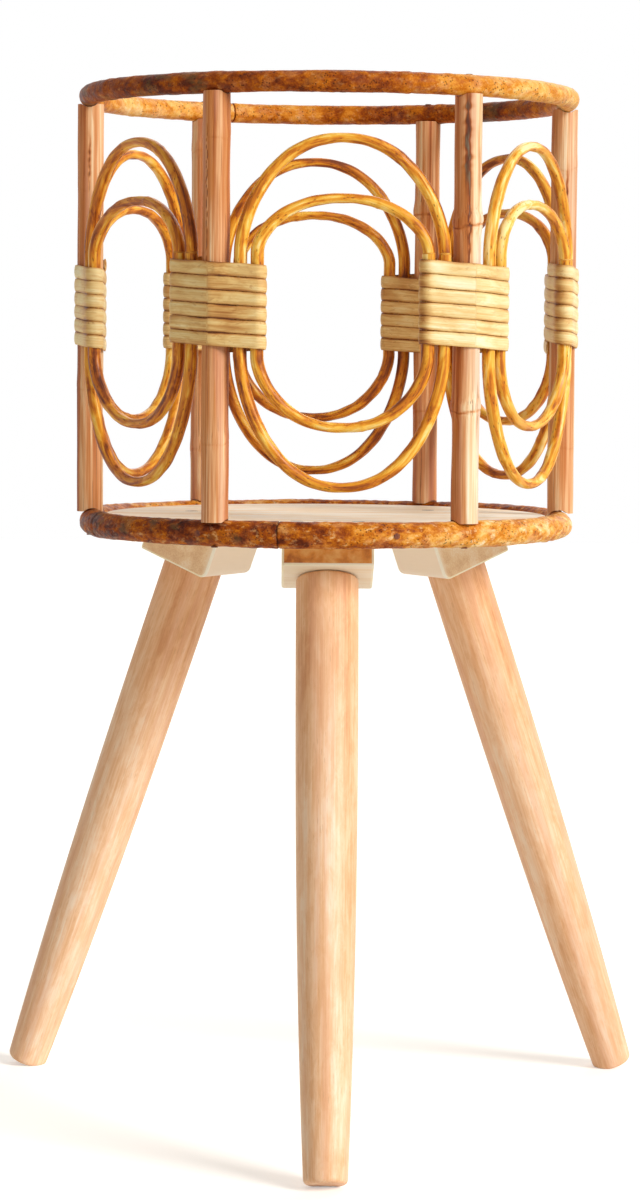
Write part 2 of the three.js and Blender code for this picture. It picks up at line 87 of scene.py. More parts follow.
# How far the poles swell, dip and wander at their leaf nodes, joints and rags of bark.
RING_NODE_SWELL = 0.0004
RING_NODE_WIDTH = 1.1
RING_GROOVE_WIDTH = 0.35
RING_JOINT_DEPTH = 0.0007
RING_JOINT_WIDTH = 0.00045
RING_JOINT_LINE = 0.0006
POST_INSET = 0.00015
POST_UNEVEN = 0.00013
POST_NODE_SWELL = 0.0011
POST_NODE_HEIGHT = 0.0052
POST_NODE_LEAN = 0.0012
POST_GROOVE_DEPTH = 0.0005
POST_GROOVE_BELOW_NODE = 0.0024
POST_GROOVE_HEIGHT = 0.0006
BARK_RAG_WANDER = 3
BARK_RAG_END = 0.02

# The legs and the wedge blocks that they screw into.
LEG_TURNS = {"front": 0, "right": 120, "left": 240}
LEG_LEAN = 21
LEG_SEAT_INSET = 0.0401
LEG_TOP_RADIUS = 0.0182
LEG_FOOT_RADIUS = 0.0125
LEG_TAPER_POWER = 2.6
LEG_TOP_EASE = 0.0024
LEG_FOOT_EASE = 0.003
LEG_BROWN_TOP = 0.17
FOOT_FLAT_DEPTH = 0.0012
BLOCK_WIDTH = 0.0534
BLOCK_LENGTH = 0.050
BLOCK_DEEP_END = 0.0326
BLOCK_CORNER = 0.005
BLOCK_EDGE_EASE = 0.0014
CLEARANCE = 0.0003


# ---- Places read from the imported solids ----

def node_points(node):
    """A solid's corners, as rows of x, y and z."""
    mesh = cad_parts[node].data
    flat = np.empty(len(mesh.vertices) * 3)
    mesh.vertices.foreach_get("co", flat)
    return flat.reshape(-1, 3)


board_low, board_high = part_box("base_board")
AXIS = np.array([(board_low.x + board_high.x) / 2, (board_low.y + board_high.y) / 2, 0])
BOARD_UNDERSIDE = board_low.z
BOARD_RADIUS = (board_high.x - board_low.x) / 2


def measured_ring(node):
    """A ring's radius to the pole's centre line, its pole's radius and its height."""
    points = node_points(node) - AXIS
    low, high = points[:, 2].min(), points[:, 2].max()
    pole = (high - low) / 2
    return np.hypot(points[:, 0], points[:, 1]).max() - pole, pole, (low + high) / 2


TOP_RADIUS, TOP_POLE, TOP_HEIGHT = measured_ring("top_ring")
BASE_RADIUS, BASE_POLE, BASE_HEIGHT = measured_ring("base_ring")
CAGE_MIDDLE = (TOP_HEIGHT + BASE_HEIGHT) / 2

post_low, post_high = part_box("post_1")
post_middle = (np.array(post_low) + np.array(post_high)) / 2
POST_CIRCLE = math.hypot(*(post_middle - AXIS)[:2])
POST_RADIUS = np.hypot(*(node_points("post_1") - post_middle)[:, :2].T).max()


# ---- Arrays of points ----

def lerp(start, end, share):
    return start + (end - start) * share


def smoothstep(value, low, high):
    """0 below low, 1 above high, and 3t^2 - 2t^3 between them."""
    t = np.clip((value - low) / (high - low), 0, 1)
    return t * t * (3 - 2 * t)


def once_round(count):
    """Even angles once round, in radians."""
    return np.linspace(0, 2 * math.pi, count, endpoint=False)


def degrees_off(degrees, place):
    """How far an angle is past a place, from -180 to 180."""
    return (degrees - place + 180) % 360 - 180


def hump(value, centre, width):
    """A bell, 1 at the centre, that falls to 1/e at the width."""
    return np.exp(-(((value - centre) / width) ** 2))


def ripple(along, around, seed, most_along, most_around, count=36):
    """A sum of cosine waves over two angles, about 1 high. Each wave fits a whole number of times
    both ways, so the sum meets itself where the surface closes."""
    rng = np.random.default_rng(seed)
    total = 0
    for _ in range(count):
        m, n = rng.integers(0, most_along + 1), rng.integers(-most_around, most_around + 1)
        total = total + np.cos(m * along + n * around + rng.uniform(0, 2 * math.pi))
    return total / math.sqrt(count)


def turned(points, degrees):
    """Points in a frame whose -Y points out from the cage's axis, turned to their place round it."""
    angle = math.radians(degrees)
    c, s = math.cos(angle), math.sin(angle)
    x, y, z = np.moveaxis(points, -1, 0)
    return np.stack([c * x - s * y, s * x + c * y, z], -1) + AXIS


def even(line, count):
    """A closed line of points, laid again at equal distances along itself, and its length."""
    closed = np.vstack([line, line[:1]])
    way = np.concatenate([[0], np.cumsum(np.linalg.norm(np.diff(closed, axis=0), axis=1))])
    places = np.linspace(0, way[-1], count, endpoint=False)
    return np.stack([np.interp(places, way, axis) for axis in closed.T], -1), way[-1]


def lay(name, grid, material, closed=False, grain=None, tone=None, sharp=None, flat_ends=False):
    """Turns a grid of points into a closed mesh: each row of the grid goes once round the piece, and
    the rows follow one another along it. The last row joins the first if closed; otherwise each end
    is one flat face, or a fan to the middle of the end row. The faces are turned to point out.
    grain and tone are kept at each point for the finish, and edges past sharp degrees stay crisp."""
    rows, cols = grid.shape[:2]
    points = grid.reshape(-1, 3)
    index = np.arange(rows * cols).reshape(rows, cols)
    a = index if closed else index[:-1]
    b = np.roll(index, -1, 0) if closed else index[1:]
    quads = np.stack([a, np.roll(a, -1, 1), np.roll(b, -1, 1), b], -1).reshape(-1, 4)
    extra = []
    if not closed and flat_ends:
        extra = [index[0][::-1].tolist(), index[-1].tolist()]
    elif not closed:
        tips = np.stack([grid[0].mean(0), grid[-1].mean(0)])
        points = np.vstack([points, tips])
        first, last = np.full(cols, rows * cols), np.full(cols, rows * cols + 1)
        extra = np.stack([np.roll(index[0], -1), index[0], first], -1).tolist()
        extra += np.stack([index[-1], np.roll(index[-1], -1), last], -1).tolist()
    corners = points[quads]
    normal = np.cross(corners[:, 2] - corners[:, 0], corners[:, 3] - corners[:, 1])
    inside_out = (corners.mean(1) * normal).sum() < 0
    faces = [face[::-1] for face in quads.tolist() + extra] if inside_out else quads.tolist() + extra
    mesh = bpy.data.meshes.new(name)
    mesh.from_pydata(points, [], faces)
    mesh.polygons.foreach_set("use_smooth", np.ones(len(mesh.polygons), bool))
    for key, kind, values in (("grain", "FLOAT_VECTOR", grain), ("tone", "FLOAT", tone)):
        if values is None:
            continue
        width = 3 if kind == "FLOAT_VECTOR" else 1
        values = np.broadcast_to(values, (rows, cols, width) if width == 3 else (rows, cols))
        full = values.reshape(rows * cols, width)
        if len(points) > len(full):
            ends = [values[0].reshape(-1, width).mean(0), values[-1].reshape(-1, width).mean(0)]
            full = np.vstack([full, ends])
        layer = mesh.attributes.new(key, kind, "POINT")
        layer.data.foreach_set("vector" if width == 3 else "value", full.astype(np.float32).ravel())
    if sharp:
        mesh.set_sharp_from_angle(angle=math.radians(sharp))
    mesh.materials.append(material)
    piece = bpy.data.objects.new(name, mesh)
    bpy.context.scene.collection.objects.link(piece)
    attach(piece, "root")
    return piece


# ---- Finishes ----

def paint(code):
    """A colour written as six hex digits, as a linear colour with alpha 1."""
    parts = [int(code[i:i + 2], 16) / 255 for i in (0, 2, 4)]
    return (*[((c + 0.055) / 1.055) ** 2.4 if c > 0.04045 else c / 12.92 for c in parts], 1)


class Finish:
    """A material built from nodes. Its methods add nodes and return the socket to use next."""

    def __init__(self, name, roughness=0.5, coat=0.0, coat_roughness=0.2, shine=0.5):
        self.material = bpy.data.materials.new(name)
        self.material.use_nodes = True
        self.tree = self.material.node_tree
        self.shader = self.tree.nodes["Principled BSDF"]
        self.shader.inputs["Roughness"].default_value = roughness
        self.shader.inputs["Specular IOR Level"].default_value = shine
        self.shader.inputs["Coat Weight"].default_value = coat
        self.shader.inputs["Coat Roughness"].default_value = coat_roughness

    def put(self, value, socket):
        """Links a socket, or sets a plain value."""
        if isinstance(value, bpy.types.NodeSocket):
            self.tree.links.new(value, socket)
        else:
            socket.default_value = value

    def node(self, kind, settings=(), **inputs):
        """A shader node with its settings and inputs. An input's spaces are written as underscores."""
        made = self.tree.nodes.new("ShaderNode" + kind)
        for key, value in dict(settings).items():
            setattr(made, key, value)
        for key, value in inputs.items():
            self.put(value, made.inputs[key.replace("_", " ")])
        return made

    def here(self, scale=(1, 1, 1)):
        """Places on the piece, in metres, stretched by a scale for each axis."""
        place = self.node("TexCoord").outputs["Object"]
        return self.node("Mapping", Vector=place, Scale=scale).outputs[0]

    def along(self, scale=(1, 1, 1)):
        """Places in the piece's own grain: along it, then across and through it, in metres."""
        place = self.node("Attribute", {"attribute_name": "grain"}).outputs["Vector"]
        return self.node("Mapping", Vector=place, Scale=scale).outputs[0]

    def tone(self):
        """The tone that the mesh holds at each point."""
        return self.node("Attribute", {"attribute_name": "tone"}).outputs["Fac"]

    def noise(self, place, scale=1.0, detail=4.0, rough=0.55, warp=0.0):
        """Soft noise between 0 and 1, with finer noise on it by its detail, bent by its warp."""
        return self.node("TexNoise", Vector=place, Scale=scale, Detail=detail, Roughness=rough,
                         Distortion=warp).outputs[0]

    def cells(self, place, scale=1.0):
        """The distance to the nearest of many scattered points."""
        return self.node("TexVoronoi", Vector=place, Scale=scale).outputs["Distance"]

    def math(self, how, a, b=0.0, c=0.0):
        """Sockets or numbers put together by one operation."""
        made = self.tree.nodes.new("ShaderNodeMath")
        made.operation = how
        for value, socket in zip((a, b, c), made.inputs):
            self.put(value, socket)
        return made.outputs[0]

    def sway(self, noise):
        """Noise, which keeps near 0.5, spread out to swing from -1 to 1."""
        return self.between(noise, 0.36, 0.64, -1, 1)

    def gain(self, value, times, plus=0.0):
        """The value times one number plus another."""
        return self.math("MULTIPLY_ADD", value, times, plus)

    def add(self, level, *layers):
        """The level with each layer of (waves, weight) added to it."""
        for waves, weight in layers:
            level = self.math("ADD", level, self.gain(waves, weight))
        return level

    def between(self, value, low, high, start=0.0, end=1.0):
        """value from low to high becomes start to end, smoothly, and stays there outside."""
        made = self.node("MapRange", {"interpolation_type": "SMOOTHSTEP"}, Value=value)
        for key, number in (("From Min", low), ("From Max", high), ("To Min", start), ("To Max", end)):
            made.inputs[key].default_value = number
        return made.outputs["Result"]

    def ramp(self, value, *stops):
        """A colour for each value, from stops of (value, hex colour)."""
        made = self.node("ValToRGB", Fac=value)
        elements = made.color_ramp.elements
        while len(elements) < len(stops):
            elements.new(0.5)
        for element, (place, code) in zip(elements, stops):
            element.position = place
            element.color = paint(code)
        return made.outputs["Color"]

    def mix(self, share, a, b):
        """Colour a where the share is 0 and b where it is 1."""
        made = self.node("Mix", {"data_type": "RGBA"})
        colours = [s for s in made.inputs if s.type == "RGBA"]
        self.put(share, made.inputs[0])
        for value, socket in zip((a, b), colours):
            self.put(paint(value) if isinstance(value, str) else value, socket)
        return next(s for s in made.outputs if s.type == "RGBA")

    def tint(self, colour, where, strength, other):
        """The colour, turned to another where a value is 1, at a given strength."""
        return self.mix(self.math("MULTIPLY", where, strength), colour, other)

    def done(self, colour, height=None, depth=0.0003, strength=0.6, roughness=None):
        """Wires the colour, a bump of the given depth in metres, and the roughness to the shader."""
        self.put(colour, self.shader.inputs["Base Color"])
        if height is not None:
            bump = self.node("Bump", Height=height, Distance=depth, Strength=strength)
            self.put(bump.outputs["Normal"], self.shader.inputs["Normal"])
        if roughness is not None:
            self.put(roughness, self.shader.inputs["Roughness"])
        return self.material


def ring_bark(name, grain, blob_share, grain_share, painted_glint_share):
    """Bark left on a bent pole. The tone attribute runs from maroon (0) over orange brown to gold (1).
    Blobs and finer grains darken and lighten it, each by its share, with pinkish bloom, some olive,
    pale flecks that are painted glints of light on the bark's small bumps, and small pits. grain is the
    count of grains in about a metre."""
    f = Finish(name, shine=0.08)
    tone = f.tone()
    blobs = f.sway(f.noise(f.along((70, 110, 110)), 1, 4, 0.6, 0.15))
    grains = f.sway(f.noise(f.along((0.8 * grain, grain, grain)), 1, 4, 0.65, 0.2))
    specks = f.sway(f.noise(f.here(), 1000, 2, 0.5))
    level = f.add(f.gain(tone, 0.58, 0.2),
                  (blobs, blob_share), (grains, grain_share), (specks, 0.035))
    colour = f.ramp(level, (0.06, "35110A"), (0.20, "662A10"), (0.34, "944510"), (0.50, "C26C14"),
                    (0.66, "DF9334"), (0.82, "F0BC68"), (0.97, "FAE0AA"))
    pink = f.ramp(level, (0.08, "5E2C20"), (0.34, "A8684A"), (0.55, "D49A6E"), (0.80, "F6CCA4"))
    bloom = f.between(f.noise(f.along((100, 140, 140)), 1, 4, 0.6, 0.1), 0.48, 0.66)
    colour = f.tint(colour, bloom, 0.3, pink)
    olive = f.between(f.noise(f.along((60, 95, 95)), 1, 2, 0.5), 0.53, 0.62)
    colour = f.tint(colour, olive, f.between(tone, 0.15, 0.45, 0.25, 0.0), "8C7A4A")
    # Pale flecks: painted glints of light on the bark's small bumps.
    fleck = f.between(f.noise(f.along((230, 330, 330)), 1, 3, 0.6), 0.56, 0.68, 0, painted_glint_share)
    pale = f.ramp(level, (0.10, "B47E62"), (0.35, "DDA868"), (0.60, "F8DCA2"), (0.85, "FFF4DC"))
    colour = f.mix(fleck, colour, pale)
    pit = f.between(f.cells(f.here(), 520), 0.20, 0.32, 1, 0)
    pit = f.math("MULTIPLY", pit, f.between(f.noise(f.here(), 95, 2), 0.45, 0.58))
    colour = f.tint(colour, pit, 0.7, "3B150B")
    height = f.add(f.gain(grains, 0.4, 0.5), (pit, -0.9))
    return f.done(colour, height, 0.0005, 0.5, f.between(blobs, -1, 1, 0.4, 0.58))


def cane(name):
    """Thin golden cane: streaks and patches from amber brown to pale yellow, with brown specks. The
    tone attribute makes a stretch browner (0) or yellower (1)."""
    f = Finish(name, coat=0.12, coat_roughness=0.3, shine=0.25)
    streaks = f.sway(f.noise(f.along((26, 330, 330)), 1, 3, 0.55, 0.3))
    patches = f.sway(f.noise(f.along((45, 170, 170)), 1, 4, 0.6, 1.0))
    drift = f.sway(f.noise(f.along((14, 60, 60)), 1, 2, 0.5, 0.4))
    level = f.add(f.gain(f.tone(), 0.5, 0.27), (streaks, 0.15), (patches, 0.12), (drift, 0.07))
    colour = f.ramp(level, (0.08, "461A06"), (0.25, "92470E"), (0.42, "CA7414"), (0.57, "E69C26"),
                    (0.72, "F5C250"), (0.90, "FEE8A4"))
    speck = f.between(f.cells(f.along((260, 760, 760))), 0.16, 0.30, 1, 0)
    speck = f.math("MULTIPLY", speck, f.between(patches, 0.1, -0.6))
    colour = f.tint(colour, speck, 0.65, "5A260F")
    height = f.add(f.gain(streaks, 0.35, 0.5), (speck, -0.5))
    return f.done(colour, height, 0.0003, 0.5, f.between(patches, -1, 1, 0.5, 0.34))


def skinned_pole(name):
    """Skinned rattan: tan, with broad and narrow upright bands of brown, orange, pink and cream and
    thin dark lines. It is paler where the tone attribute is over 1, browner where it is under 1, and
    where the tone falls from 0.5 to 0 there is a dark scar or a rag of bark."""
    f = Finish(name, shine=0.3)
    fine = f.sway(f.noise(f.along((12, 1000, 1000)), 1, 4, 0.6))
    bands = f.sway(f.noise(f.along((5, 270, 270)), 1, 3, 0.55, 0.4))
    broad = f.sway(f.noise(f.along((4, 75, 75)), 1, 2, 0.5, 0.3))
    level = f.add(f.gain(f.tone(), 0.45, 0.02), (fine, 0.06), (bands, 0.14), (broad, 0.13))
    colour = f.ramp(level, (0.12, "84401C"), (0.30, "B76831"), (0.46, "D38F5B"), (0.60, "E6B07E"),
                    (0.76, "F4D4A8"), (0.92, "FCECCE"))
    blush = f.between(f.noise(f.along((7, 120, 120)), 1, 2), 0.50, 0.60)
    colour = f.tint(colour, blush, f.between(f.tone(), 0.7, 1, 0, 0.4), "CE8E74")
    amber = f.between(f.noise(f.along((10, 160, 130)), 1, 3, 0.5, 0.5), 0.53, 0.62)
    colour = f.tint(colour, amber, 0.55, "C87A36")
    line = f.between(f.noise(f.along((10, 1300, 1300)), 1, 2), 0.64, 0.70)
    colour = f.tint(colour, line, 0.6, "6B351D")
    scar = f.between(f.tone(), 0.0, 0.5, 1, 0)
    fray = f.noise(f.along((60, 500, 500)), 1, 3)
    rag = f.ramp(fray, (0.4, "4A2413"), (0.5, "5C4A36"), (0.6, "7A7560"))
    colour = f.tint(colour, scar, 0.85, rag)
    height = f.add(f.gain(fine, 0.4, 0.5), (line, -0.4))
    return f.done(colour, height, 0.0003, 0.5, f.between(bands, -1, 1, 0.48, 0.62))


def split_strip(name):
    """Flat split cane: fibres along the strip over cream and tan that drift from turn to turn, with
    orange brown water marks. The tone attribute makes it browner (0) or paler (1)."""
    f = Finish(name, coat=0.05, coat_roughness=0.4, shine=0.35)
    fibres = f.sway(f.noise(f.along((22, 2400, 2400)), 1, 4, 0.65))
    bands = f.sway(f.noise(f.along((9, 700, 700)), 1, 2, 0.5, 0.3))
    drift = f.sway(f.noise(f.along((45, 170, 170)), 1, 3, 0.6, 0.5))
    level = f.add(f.tone(), (fibres, 0.05), (bands, 0.06), (drift, 0.10))
    colour = f.ramp(level, (0.02, "6B3812"), (0.18, "AE7030"), (0.36, "D29E58"), (0.54, "E8C27C"),
                    (0.74, "F4DCA0"), (0.94, "FCF0C8"))
    mark = f.between(f.noise(f.along((90, 260, 260)), 1, 5, 0.7, 1.2), 0.56, 0.68)
    colour = f.tint(colour, mark, f.between(f.tone(), 0.3, 0.8, 0.6, 0.15), "B06A28")
    return f.done(colour, f.gain(fibres, 0.5, 0.5), 0.0002, 0.5, f.between(drift, -1, 1, 0.44, 0.58))


def pale_hardwood(name):
    """Turned pale hardwood: wide soft figure, mottle, brownish and pinkish stripes along the grain,
    fine pores and short ray flecks. It is browner where the tone attribute falls from 1 to 0."""
    f = Finish(name, coat=0.05, coat_roughness=0.5, shine=0.35)
    figure = f.sway(f.noise(f.along((3.2, 70, 70)), 1, 3, 0.5, 0.7))
    stripes = f.sway(f.noise(f.along((4, 260, 260)), 1, 3, 0.55, 0.3))
    pores = f.sway(f.noise(f.along((22, 1100, 1100)), 1, 3, 0.6))
    mottle = f.sway(f.noise(f.along((45, 160, 160)), 1, 5, 0.7, 0.4))
    level = f.add(f.between(f.tone(), 0, 1, 0.37, 0.53),
                  (figure, 0.09), (mottle, 0.075), (stripes, 0.04), (pores, 0.05))
    colour = f.ramp(level, (0.15, "CE8A58"), (0.38, "E6B080"), (0.58, "F4CAA2"), (0.85, "FEECD6"))
    blush = f.between(f.noise(f.along((3, 110, 110)), 1, 2), 0.5, 0.62)
    colour = f.tint(colour, blush, 0.35, "E6AE8C")
    fleck = f.between(f.cells(f.along((95, 640, 640))), 0.13, 0.24, 1, 0)
    fleck = f.math("MULTIPLY", fleck, f.between(f.noise(f.along((20, 60, 60)), 1, 2), 0.42, 0.6))
    colour = f.tint(colour, fleck, 0.22, "B07C50")
    height = f.add(f.gain(pores, 0.4, 0.5), (fleck, -0.4))
    return f.done(colour, height, 0.00012, 0.35, f.between(figure, -1, 1, 0.46, 0.58))


def sawn_block(name, dark, middle, light, brown_end):
    """Pale sawn softwood with soft grain and fine pores. The tone attribute is the way in from the
    outer end in millimetres: that end is orange brown, and the inner end is painted paler, as painted
    light on the inner end face."""
    f = Finish(name, shine=0.3)
    figure = f.sway(f.noise(f.along((9, 90, 60)), 1, 3, 0.5, 0.3))
    pores = f.sway(f.noise(f.along((60, 1300, 1300)), 1, 3, 0.6))
    level = f.add(f.gain(figure, 0.13, 0.5), (pores, 0.08))
    colour = f.ramp(level, (0.25, dark), (0.5, middle), (0.78, light))
    blotch = f.noise(f.here(), 110, 4, 0.55, 0.2)
    brown_band = f.ramp(blotch, (0.34, "B8621C"), (0.5, "E6963E"), (0.66, "F6BE72"))
    inner_end = 1000 * BLOCK_LENGTH
    # Painted light: the last 4 mm at the inner end turn to the palest colour.
    colour = f.mix(f.between(f.tone(), inner_end - 4, inner_end - 0.5), colour, light)
    # The outer end turns orange brown, by the given share.
    colour = f.mix(f.between(f.tone(), 0.2, 1.0, brown_end, 0.0), colour, brown_band)
    return f.done(colour, f.gain(pores, 0.4, 0.5), 0.0002, 0.4, f.between(figure, -1, 1, 0.55, 0.68))


def plywood(name):
    """A sanded plywood face: flat wavy figure in pinkish beige with fine pores."""
    f = Finish(name, roughness=0.62)
    figure = f.sway(f.noise(f.here((9, 70, 70)), 1, 3, 0.5, 1.6))
    pores = f.sway(f.noise(f.here((120, 2200, 2200)), 1, 2, 0.5))
    level = f.add(f.gain(figure, 0.2, 0.5), (pores, 0.08))
    colour = f.ramp(level, (0.25, "F2D8B2"), (0.5, "FDEDD0"), (0.75, "FFFAEE"))
    return f.done(colour, f.gain(pores, 0.4, 0.5), 0.00015, 0.35)


def metal(name, light, dark, roughness, metallic=1):
    """Plain metal with a faint uneven tarnish, or rust where it is not metallic."""
    f = Finish(name, roughness=roughness)
    f.shader.inputs["Metallic"].default_value = metallic
    tarnish = f.noise(f.here(), 900, 3, 0.6)
    return f.done(f.ramp(tarnish, (0.35, dark), (0.65, light)), tarnish, 0.00005, 0.3)


TOP_BARK = ring_bark("top_ring_bark", 230, 0.10, 0.07, 0.2)
BASE_BARK = ring_bark("base_ring_bark", 240, 0.13, 0.10, 0.5)
CANE = cane("golden_cane")
POLE = skinned_pole("skinned_pole")
STRIP = split_strip("split_strip")
LEG_WOOD = pale_hardwood("leg_hardwood")
BLOCK_WOOD = sawn_block("sawn_block", "DDB48C", "EFD0A8", "FBEAD4", 0.2)
# The front block's wood is a paler copy of the others': painted light on faces that lie in the shade
# under the ring. Its outer end is orange brown.
PAINTED_PALER_BLOCK_WOOD = sawn_block("sawn_block_painted_paler_with_brown_end", "EFDCB8", "F9EBD0", "FDF6E6", 0.95)
# A near-white finish for the eased edges: a painted highlight along the block's edges.
PAINTED_EDGE_HIGHLIGHT = sawn_block("painted_edge_highlight", "FBEBC0", "FFF5D8", "FFFBEC", 0)
BOARD_WOOD = plywood("plywood_face")
STEEL = metal("dull_steel", "8F8B85", "4A4643", 0.42)
RUST = metal("rusty_nail", "8A4A24", "54241A", 0.75, metallic=0)
BRASS = metal("plain_brass", "C7A35A", "8A6B33", 0.35)


# ---- Rings ----

def dial(turn, marks):
    """A value that runs straight from mark to mark of (turn in degrees, value) round the cage."""
    places = np.array([place for place, _ in marks])
    values = np.array([value for _, value in marks])
    return np.interp((turn - places[0]) % 360, places - places[0], values)


def ring_pole(node, size, material, start, rows, cols, rough, nodes, tones_and_painted_light, seed):
    """A bent pole of a ring's measured size. Its centre line is a circle, and round it goes a circle
    of the pole's radius, which swells a little at the nodes, ripples with the bark and dips in a
    narrow V where the pole's two ends meet, at the start. Rows close up towards that joint."""
    radius, pole, height = size
    t = np.arange(rows)[:, None] / rows
    closing = 0.92
    turn = 2 * math.pi * t - closing * np.sin(2 * math.pi * t)
    around = once_round(cols)[None, :]
    way = radius * turn
    length = 2 * math.pi * radius
    from_joint = np.minimum(way, length - way)
    degrees = start + np.degrees(turn)
    past = [degrees_off(degrees, place) for place in nodes]
    swell = sum(hump(off, 0, RING_NODE_WIDTH) for off in past)
    swell = swell - 0.7 * sum(hump(off, RING_NODE_WIDTH, RING_GROOVE_WIDTH) for off in past)
    bark = ripple(turn, around, seed, 70, 6, 60) + 0.8 * ripple(turn, around, seed + 1, 170, 12, 60)
    slow = ripple(turn, around * 0, seed + 2, 14, 0, 12)
    r = pole - rough * 2 + rough * (0.55 * bark + 0.8 * slow) + RING_NODE_SWELL * swell
    r = np.minimum(r, pole) - RING_JOINT_DEPTH * hump(from_joint, 0, RING_JOINT_WIDTH)
    out = radius + r * np.cos(around)
    angle = np.radians(degrees)
    grid = np.stack([out * np.sin(angle), -out * np.cos(angle), height + r * np.sin(around)], -1) + AXIS
    grain = np.stack([way + 0 * around, r * np.cos(around), r * np.sin(around)], -1)
    # The tone by turn is partly painted light and shade: gold towards the key lamp, maroon away from
    # it.
    tone = dial(degrees % 360, tones_and_painted_light) * (1 - hump(from_joint, 0, RING_JOINT_LINE)) + 0 * around
    piece = lay(f"{node}_pole", grid, material, closed=True, grain=grain, tone=tone)
    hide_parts(node)


# A ring's tone at turns round the cage, from maroon (0) to gold (1). It is partly the bark's own colour
# and partly painted light: gold where the seen side of the ring faces the key lamp, and maroon where it
# faces away.
TOP_TONES_AND_PAINTED_LIGHT = (
    (0, 0.29), (20, 0.48), (42, 0.84), (90, 0.96), (108, 0.5), (135, 0.12), (165, 0.35),
    (200, 0.7), (245, 0.95), (262, 0.6), (278, 0.16), (320, 0.14), (345, 0.22), (360, 0.31),
)
BASE_TONES_AND_PAINTED_LIGHT = (
    (0, 0.39), (15, 0.5), (35, 0.84), (90, 0.9), (115, 0.3), (150, 0.3), (190, 0.6),
    (240, 0.7), (265, 0.4), (285, 0.12), (325, 0.16), (348, 0.28), (360, 0.39),
)
ring_pole("top_ring", (TOP_RADIUS, TOP_POLE, TOP_HEIGHT), TOP_BARK, start=205, rows=1000,
          cols=48, rough=0.00016, nodes=(-62, 17, 96, 150, 238), tones_and_painted_light=TOP_TONES_AND_PAINTED_LIGHT, seed=11)
ring_pole("base_ring", (BASE_RADIUS, BASE_POLE, BASE_HEIGHT), BASE_BARK, start=-11.4, rows=1100,
          cols=56, rough=0.00026, nodes=(-70, 64, 131, 214), tones_and_painted_light=BASE_TONES_AND_PAINTED_LIGHT, seed=23)


# ---- Posts ----

# A post's tone, and how much paler it is than that on its right and browner on its left: painted light
# on its right side and painted shade on its left, since the key lamp shines from the right.
POST_TONES_AND_PAINTED_SIDES = [(1.02, -0.03), (1.2, 0.65), (1.25, 0.2), (1, 0.1), (1, -0.1), (1, 0.3)]
# Each leaf node on a post has a height and a share of the full swelling.
POST_NODES = [
    ((0.586, 0.15), (0.412, 0.2)),
    ((0.537, 1.0), (0.431, 0.8)),
    ((0.575, 0.2), (0.405, 0.15)),
    ((0.551, 1.0), (0.425, 0.3)),
    ((0.590, 0.3), (0.398, 0.4)),
    ((0.560, 0.1), (0.440, 0.2)),
]
# The rags of bark left on a post: their place round it, which is 0 at its outer side, their lowest
# and highest points, and their width in degrees.
BARK_RAGS = [
    ((-15, 0.50, 0.60, 2), (150, 0.39, 0.48, 3)),
    ((-38, 0.545, 0.62, 14), (-28, 0.47, 0.57, 3), (170, 0.38, 0.5, 5)),
    ((-85, 0.50, 0.58, 5), (60, 0.38, 0.47, 4)),
    ((60, 0.54, 0.60, 6), (-10, 0.50, 0.57, 5)),
    ((-60, 0.40, 0.49, 5),),
    ((85, 0.55, 0.60, 4), (20, 0.37, 0.42, 3)),
]


def seat(x, y, radius, pole, height, side, limit):
    """The height of a post's end at x, y: it follows the round of the ring that it meets, at side 1
    over the ring or -1 under it, and is flat where the post is wider than the ring."""
    off = np.hypot(x - AXIS[0], y - AXIS[1]) - radius
    saddle = height + side * np.sqrt(np.clip((pole + CLEARANCE) ** 2 - off ** 2, 0, None))
    return np.maximum(saddle, limit) if side > 0 else np.minimum(saddle, limit)


